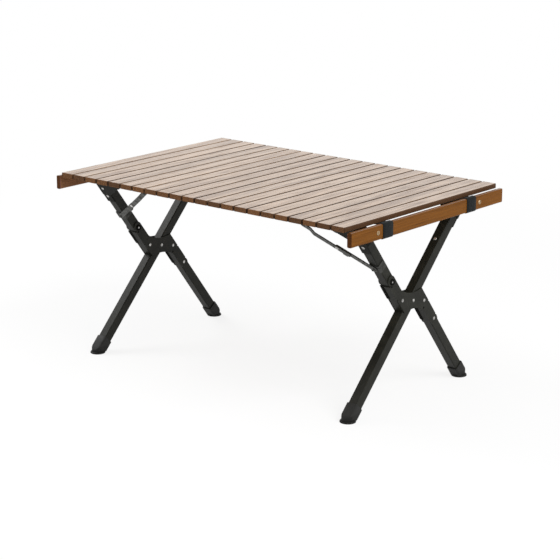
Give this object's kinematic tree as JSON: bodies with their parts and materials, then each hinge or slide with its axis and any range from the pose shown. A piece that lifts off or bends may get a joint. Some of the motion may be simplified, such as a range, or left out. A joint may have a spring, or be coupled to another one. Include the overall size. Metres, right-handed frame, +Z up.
{
  "type": "roll top camp table",
  "caption": "Low folding camp table: a roll-up deck of wooden slats with strapped end bars, on scissor legs with folding braces and rails hinged in the middle.",
  "frame": {"origin": "on the floor under the middle of the table", "axes": "+X along the table, across the slats; +Y across the table to the side away from the braces; +Z up"},
  "size_m": [0.942, 0.6, 0.482],
  "materials": {
    "slat_wood": "stained, satin",
    "bar_wood": "stained, satin",
    "webbing": "woven",
    "cord": "braided elastic",
    "frame": "black anodised, satin",
    "plate": "black, satin",
    "rivet": "bright",
    "brace": "grey, satin",
    "foot": "moulded"
  },
  "bodies": {
    "far_right": {"far_leg_right": "frame", "near_foot_right": "foot", "far_corner_right": "plate"},
    "far_left": {"far_leg_left": "frame", "near_foot_left": "foot", "far_corner_left": "plate"},
    "near_right": {"near_upper_leg_right": "frame", "near_lower_leg_right": "frame", "centre_bracket_right": "plate", "centre_rivets_right": "rivet", "far_foot_right": "foot", "near_corner_right": "plate", "brace_saddle_right": "rivet"},
    "rail_near_right": {"near_rail_right": "frame", "near_rail_pin": "rivet"},
    "rail_far_right": {"far_rail_right": "frame", "far_rail_pin": "rivet"},
    "brace_top_right": {"brace_upper_right": "brace"},
    "brace_bottom_right": {"brace_lower_right": "brace"},
    "near_left": {"near_upper_leg_left": "frame", "near_lower_leg_left": "frame", "centre_bracket_left": "plate", "centre_rivets_left": "rivet", "far_foot_left": "foot", "near_corner_left": "plate", "brace_saddle_left": "rivet"},
    "rail_near_left": {"near_rail_left": "frame"},
    "rail_far_left": {"far_rail_left": "frame"},
    "brace_top_left": {"brace_upper_left": "brace"},
    "brace_bottom_left": {"brace_lower_left": "brace"},
    "deck_end": {"slat_22": "slat_wood", "end_bar_right": "bar_wood", "bar_studs_right": "rivet", "strap_loops_right": "webbing", "deck_cords": "cord"},
    "deck_01": {"slat_01": "slat_wood"},
    "deck_02": {"slat_02": "slat_wood"},
    "deck_03": {"slat_03": "slat_wood"},
    "deck_04": {"slat_04": "slat_wood"},
    "deck_05": {"slat_05": "slat_wood"},
    "deck_06": {"slat_06": "slat_wood"},
    "deck_07": {"slat_07": "slat_wood"},
    "deck_08": {"slat_08": "slat_wood"},
    "deck_09": {"slat_09": "slat_wood"},
    "deck_10": {"slat_10": "slat_wood"},
    "deck_11": {"slat_11": "slat_wood"},
    "deck_12": {"slat_12": "slat_wood"},
    "deck_13": {"slat_13": "slat_wood"},
    "deck_14": {"slat_14": "slat_wood"},
    "deck_15": {"slat_15": "slat_wood"},
    "deck_16": {"slat_16": "slat_wood"},
    "deck_17": {"slat_17": "slat_wood"},
    "deck_18": {"slat_18": "slat_wood"},
    "deck_19": {"slat_19": "slat_wood"},
    "deck_20": {"slat_20": "slat_wood"},
    "deck_21": {"slat_21": "slat_wood"},
    "bar_left": {"end_bar_left": "bar_wood", "bar_studs_left": "rivet", "strap_loops_left": "webbing"}
  },
  "joints": [
    {"name": "frame_fold", "type": "hinge", "parent": "far_right", "child": "near_right", "pos_m": [0.41, 0, 0.2455], "axis": [-1, 0, 0], "range_deg": [0, 80]},
    {"name": "near_rail_right_fold", "type": "hinge", "parent": "near_right", "child": "rail_near_right", "pos_m": [0.352, -0.198, 0.45399], "axis": [0, -0.7909, -0.612], "range_deg": [0, 85]},
    {"name": "near_rail_middle_fold", "type": "hinge", "parent": "rail_near_right", "child": "rail_near_left", "pos_m": [0, -0.20443, 0.4623], "axis": [0, 0.7909, 0.612], "range_deg": [0, 170]},
    {"name": "near_rail_left_fold", "type": "hinge", "parent": "rail_near_left", "child": "near_left", "pos_m": [-0.352, -0.198, 0.45399], "axis": [0, -0.7909, -0.612], "range_deg": [0, 85]},
    {"name": "far_rail_right_fold", "type": "hinge", "parent": "far_right", "child": "rail_far_right", "pos_m": [0.352, 0.198, 0.45399], "axis": [0, -0.7251, 0.6886], "range_deg": [0, 85]},
    {"name": "far_rail_middle_fold", "type": "hinge", "parent": "rail_far_right", "child": "rail_far_left", "pos_m": [0, 0.20523, 0.46161], "axis": [0, 0.7251, -0.6886], "range_deg": [0, 170]},
    {"name": "far_rail_left_fold", "type": "hinge", "parent": "rail_far_left", "child": "far_left", "pos_m": [-0.352, 0.198, 0.45399], "axis": [0, -0.7251, 0.6886], "range_deg": [0, 85]},
    {"name": "brace_upper_right_turn", "type": "hinge", "parent": "rail_near_right", "child": "brace_top_right", "pos_m": [0.254, -0.19494, 0.45004], "axis": [0, 0.7909, 0.612], "range_deg": [0, 144.94]},
    {"name": "brace_lower_right_turn", "type": "hinge", "parent": "near_right", "child": "brace_bottom_right", "pos_m": [0.41, -0.1215, 0.35513], "axis": [0, -0.7909, -0.612], "range_deg": [0, 80.23]},
    {"name": "brace_upper_left_turn", "type": "hinge", "parent": "rail_near_left", "child": "brace_top_left", "pos_m": [-0.254, -0.19494, 0.45004], "axis": [0, -0.7909, -0.612], "range_deg": [0, 144.94]},
    {"name": "brace_lower_left_turn", "type": "hinge", "parent": "near_left", "child": "brace_bottom_left", "pos_m": [-0.41, -0.1215, 0.35513], "axis": [0, 0.7909, 0.612], "range_deg": [0, 80.23]},
    {"name": "top_lift", "type": "slide", "parent": "far_right", "child": "deck_end", "axis": [0, 0, 1], "range_m": [0, 0.4199]},
    {"name": "top_roll", "type": "hinge", "parent": "deck_end", "child": "deck_21", "pos_m": [0.41, 0, 0.476], "axis": [0, 1, 0], "range_deg": [0, 21], "deforming": ["deck_cords"]},
    {"name": "slat_20_turn", "type": "hinge", "parent": "deck_21", "child": "deck_20", "pos_m": [0.369, 0, 0.476], "axis": [0, 1, 0], "range_deg": [0, 21.65]},
    {"name": "slat_19_turn", "type": "hinge", "parent": "deck_20", "child": "deck_19", "pos_m": [0.328, 0, 0.476], "axis": [0, 1, 0], "range_deg": [0, 22.3]},
    {"name": "slat_18_turn", "type": "hinge", "parent": "deck_19", "child": "deck_18", "pos_m": [0.287, 0, 0.476], "axis": [0, 1, 0], "range_deg": [0, 22.95]},
    {"name": "slat_17_turn", "type": "hinge", "parent": "deck_18", "child": "deck_17", "pos_m": [0.246, 0, 0.476], "axis": [0, 1, 0], "range_deg": [0, 23.6]},
    {"name": "slat_16_turn", "type": "hinge", "parent": "deck_17", "child": "deck_16", "pos_m": [0.205, 0, 0.476], "axis": [0, 1, 0], "range_deg": [0, 24.25]},
    {"name": "slat_15_turn", "type": "hinge", "parent": "deck_16", "child": "deck_15", "pos_m": [0.164, 0, 0.476], "axis": [0, 1, 0], "range_deg": [0, 24.9]},
    {"name": "slat_14_turn", "type": "hinge", "parent": "deck_15", "child": "deck_14", "pos_m": [0.123, 0, 0.476], "axis": [0, 1, 0], "range_deg": [0, 25.55]},
    {"name": "slat_13_turn", "type": "hinge", "parent": "deck_14", "child": "deck_13", "pos_m": [0.082, 0, 0.476], "axis": [0, 1, 0], "range_deg": [0, 26.2]},
    {"name": "slat_12_turn", "type": "hinge", "parent": "deck_13", "child": "deck_12", "pos_m": [0.041, 0, 0.476], "axis": [0, 1, 0], "range_deg": [0, 26.85]},
    {"name": "slat_11_turn", "type": "hinge", "parent": "deck_12", "child": "deck_11", "pos_m": [0, 0, 0.476], "axis": [0, 1, 0], "range_deg": [0, 27.5]},
    {"name": "slat_10_turn", "type": "hinge", "parent": "deck_11", "child": "deck_10", "pos_m": [-0.041, 0, 0.476], "axis": [0, 1, 0], "range_deg": [0, 28.15]},
    {"name": "slat_09_turn", "type": "hinge", "parent": "deck_10", "child": "deck_09", "pos_m": [-0.082, 0, 0.476], "axis": [0, 1, 0], "range_deg": [0, 28.8]},
    {"name": "slat_08_turn", "type": "hinge", "parent": "deck_09", "child": "deck_08", "pos_m": [-0.123, 0, 0.476], "axis": [0, 1, 0], "range_deg": [0, 29.45]},
    {"name": "slat_07_turn", "type": "hinge", "parent": "deck_08", "child": "deck_07", "pos_m": [-0.164, 0, 0.476], "axis": [0, 1, 0], "range_deg": [0, 30.1]},
    {"name": "slat_06_turn", "type": "hinge", "parent": "deck_07", "child": "deck_06", "pos_m": [-0.205, 0, 0.476], "axis": [0, 1, 0], "range_deg": [0, 30.75]},
    {"name": "slat_05_turn", "type": "hinge", "parent": "deck_06", "child": "deck_05", "pos_m": [-0.246, 0, 0.476], "axis": [0, 1, 0], "range_deg": [0, 31.4]},
    {"name": "slat_04_turn", "type": "hinge", "parent": "deck_05", "child": "deck_04", "pos_m": [-0.287, 0, 0.476], "axis": [0, 1, 0], "range_deg": [0, 32.05]},
    {"name": "slat_03_turn", "type": "hinge", "parent": "deck_04", "child": "deck_03", "pos_m": [-0.328, 0, 0.476], "axis": [0, 1, 0], "range_deg": [0, 32.7]},
    {"name": "slat_02_turn", "type": "hinge", "parent": "deck_03", "child": "deck_02", "pos_m": [-0.369, 0, 0.476], "axis": [0, 1, 0], "range_deg": [0, 33.35]},
    {"name": "slat_01_turn", "type": "hinge", "parent": "deck_02", "child": "deck_01", "pos_m": [-0.41, 0, 0.476], "axis": [0, 1, 0], "range_deg": [0, 34]},
    {"name": "bar_left_swing", "type": "hinge", "parent": "deck_01", "child": "bar_left", "pos_m": [-0.45325, 0, 0.476], "axis": [0, 1, 0], "range_deg": [0, 130], "deforming": ["strap_loops_left"]}
  ],
  "couplings": [
    {"joint": "near_rail_right_fold", "follows": "frame_fold", "ratio": 1.0625},
    {"joint": "near_rail_middle_fold", "follows": "frame_fold", "ratio": 2.125},
    {"joint": "near_rail_left_fold", "follows": "frame_fold", "ratio": 1.0625},
    {"joint": "far_rail_right_fold", "follows": "frame_fold", "ratio": 1.0625},
    {"joint": "far_rail_middle_fold", "follows": "frame_fold", "ratio": 2.125},
    {"joint": "far_rail_left_fold", "follows": "frame_fold", "ratio": 1.0625},
    {"joint": "brace_upper_right_turn", "follows": "frame_fold", "ratio": 1.8117},
    {"joint": "brace_lower_right_turn", "follows": "frame_fold", "ratio": 1.0029},
    {"joint": "brace_upper_left_turn", "follows": "frame_fold", "ratio": 1.8117},
    {"joint": "brace_lower_left_turn", "follows": "frame_fold", "ratio": 1.0029},
    {"joint": "top_lift", "follows": "frame_fold", "m_per_rad": 0.3},
    {"joint": "slat_20_turn", "follows": "top_roll", "ratio": 1.031},
    {"joint": "slat_19_turn", "follows": "top_roll", "ratio": 1.0619},
    {"joint": "slat_18_turn", "follows": "top_roll", "ratio": 1.0929},
    {"joint": "slat_17_turn", "follows": "top_roll", "ratio": 1.1238},
    {"joint": "slat_16_turn", "follows": "top_roll", "ratio": 1.1548},
    {"joint": "slat_15_turn", "follows": "top_roll", "ratio": 1.1857},
    {"joint": "slat_14_turn", "follows": "top_roll", "ratio": 1.2167},
    {"joint": "slat_13_turn", "follows": "top_roll", "ratio": 1.2476},
    {"joint": "slat_12_turn", "follows": "top_roll", "ratio": 1.2786},
    {"joint": "slat_11_turn", "follows": "top_roll", "ratio": 1.3095},
    {"joint": "slat_10_turn", "follows": "top_roll", "ratio": 1.3405},
    {"joint": "slat_09_turn", "follows": "top_roll", "ratio": 1.3714},
    {"joint": "slat_08_turn", "follows": "top_roll", "ratio": 1.4024},
    {"joint": "slat_07_turn", "follows": "top_roll", "ratio": 1.4333},
    {"joint": "slat_06_turn", "follows": "top_roll", "ratio": 1.4643},
    {"joint": "slat_05_turn", "follows": "top_roll", "ratio": 1.4952},
    {"joint": "slat_04_turn", "follows": "top_roll", "ratio": 1.5262},
    {"joint": "slat_03_turn", "follows": "top_roll", "ratio": 1.5571},
    {"joint": "slat_02_turn", "follows": "top_roll", "ratio": 1.5881},
    {"joint": "slat_01_turn", "follows": "top_roll", "ratio": 1.6191},
    {"joint": "bar_left_swing", "follows": "top_roll", "ratio": 6.1905}
  ]
}
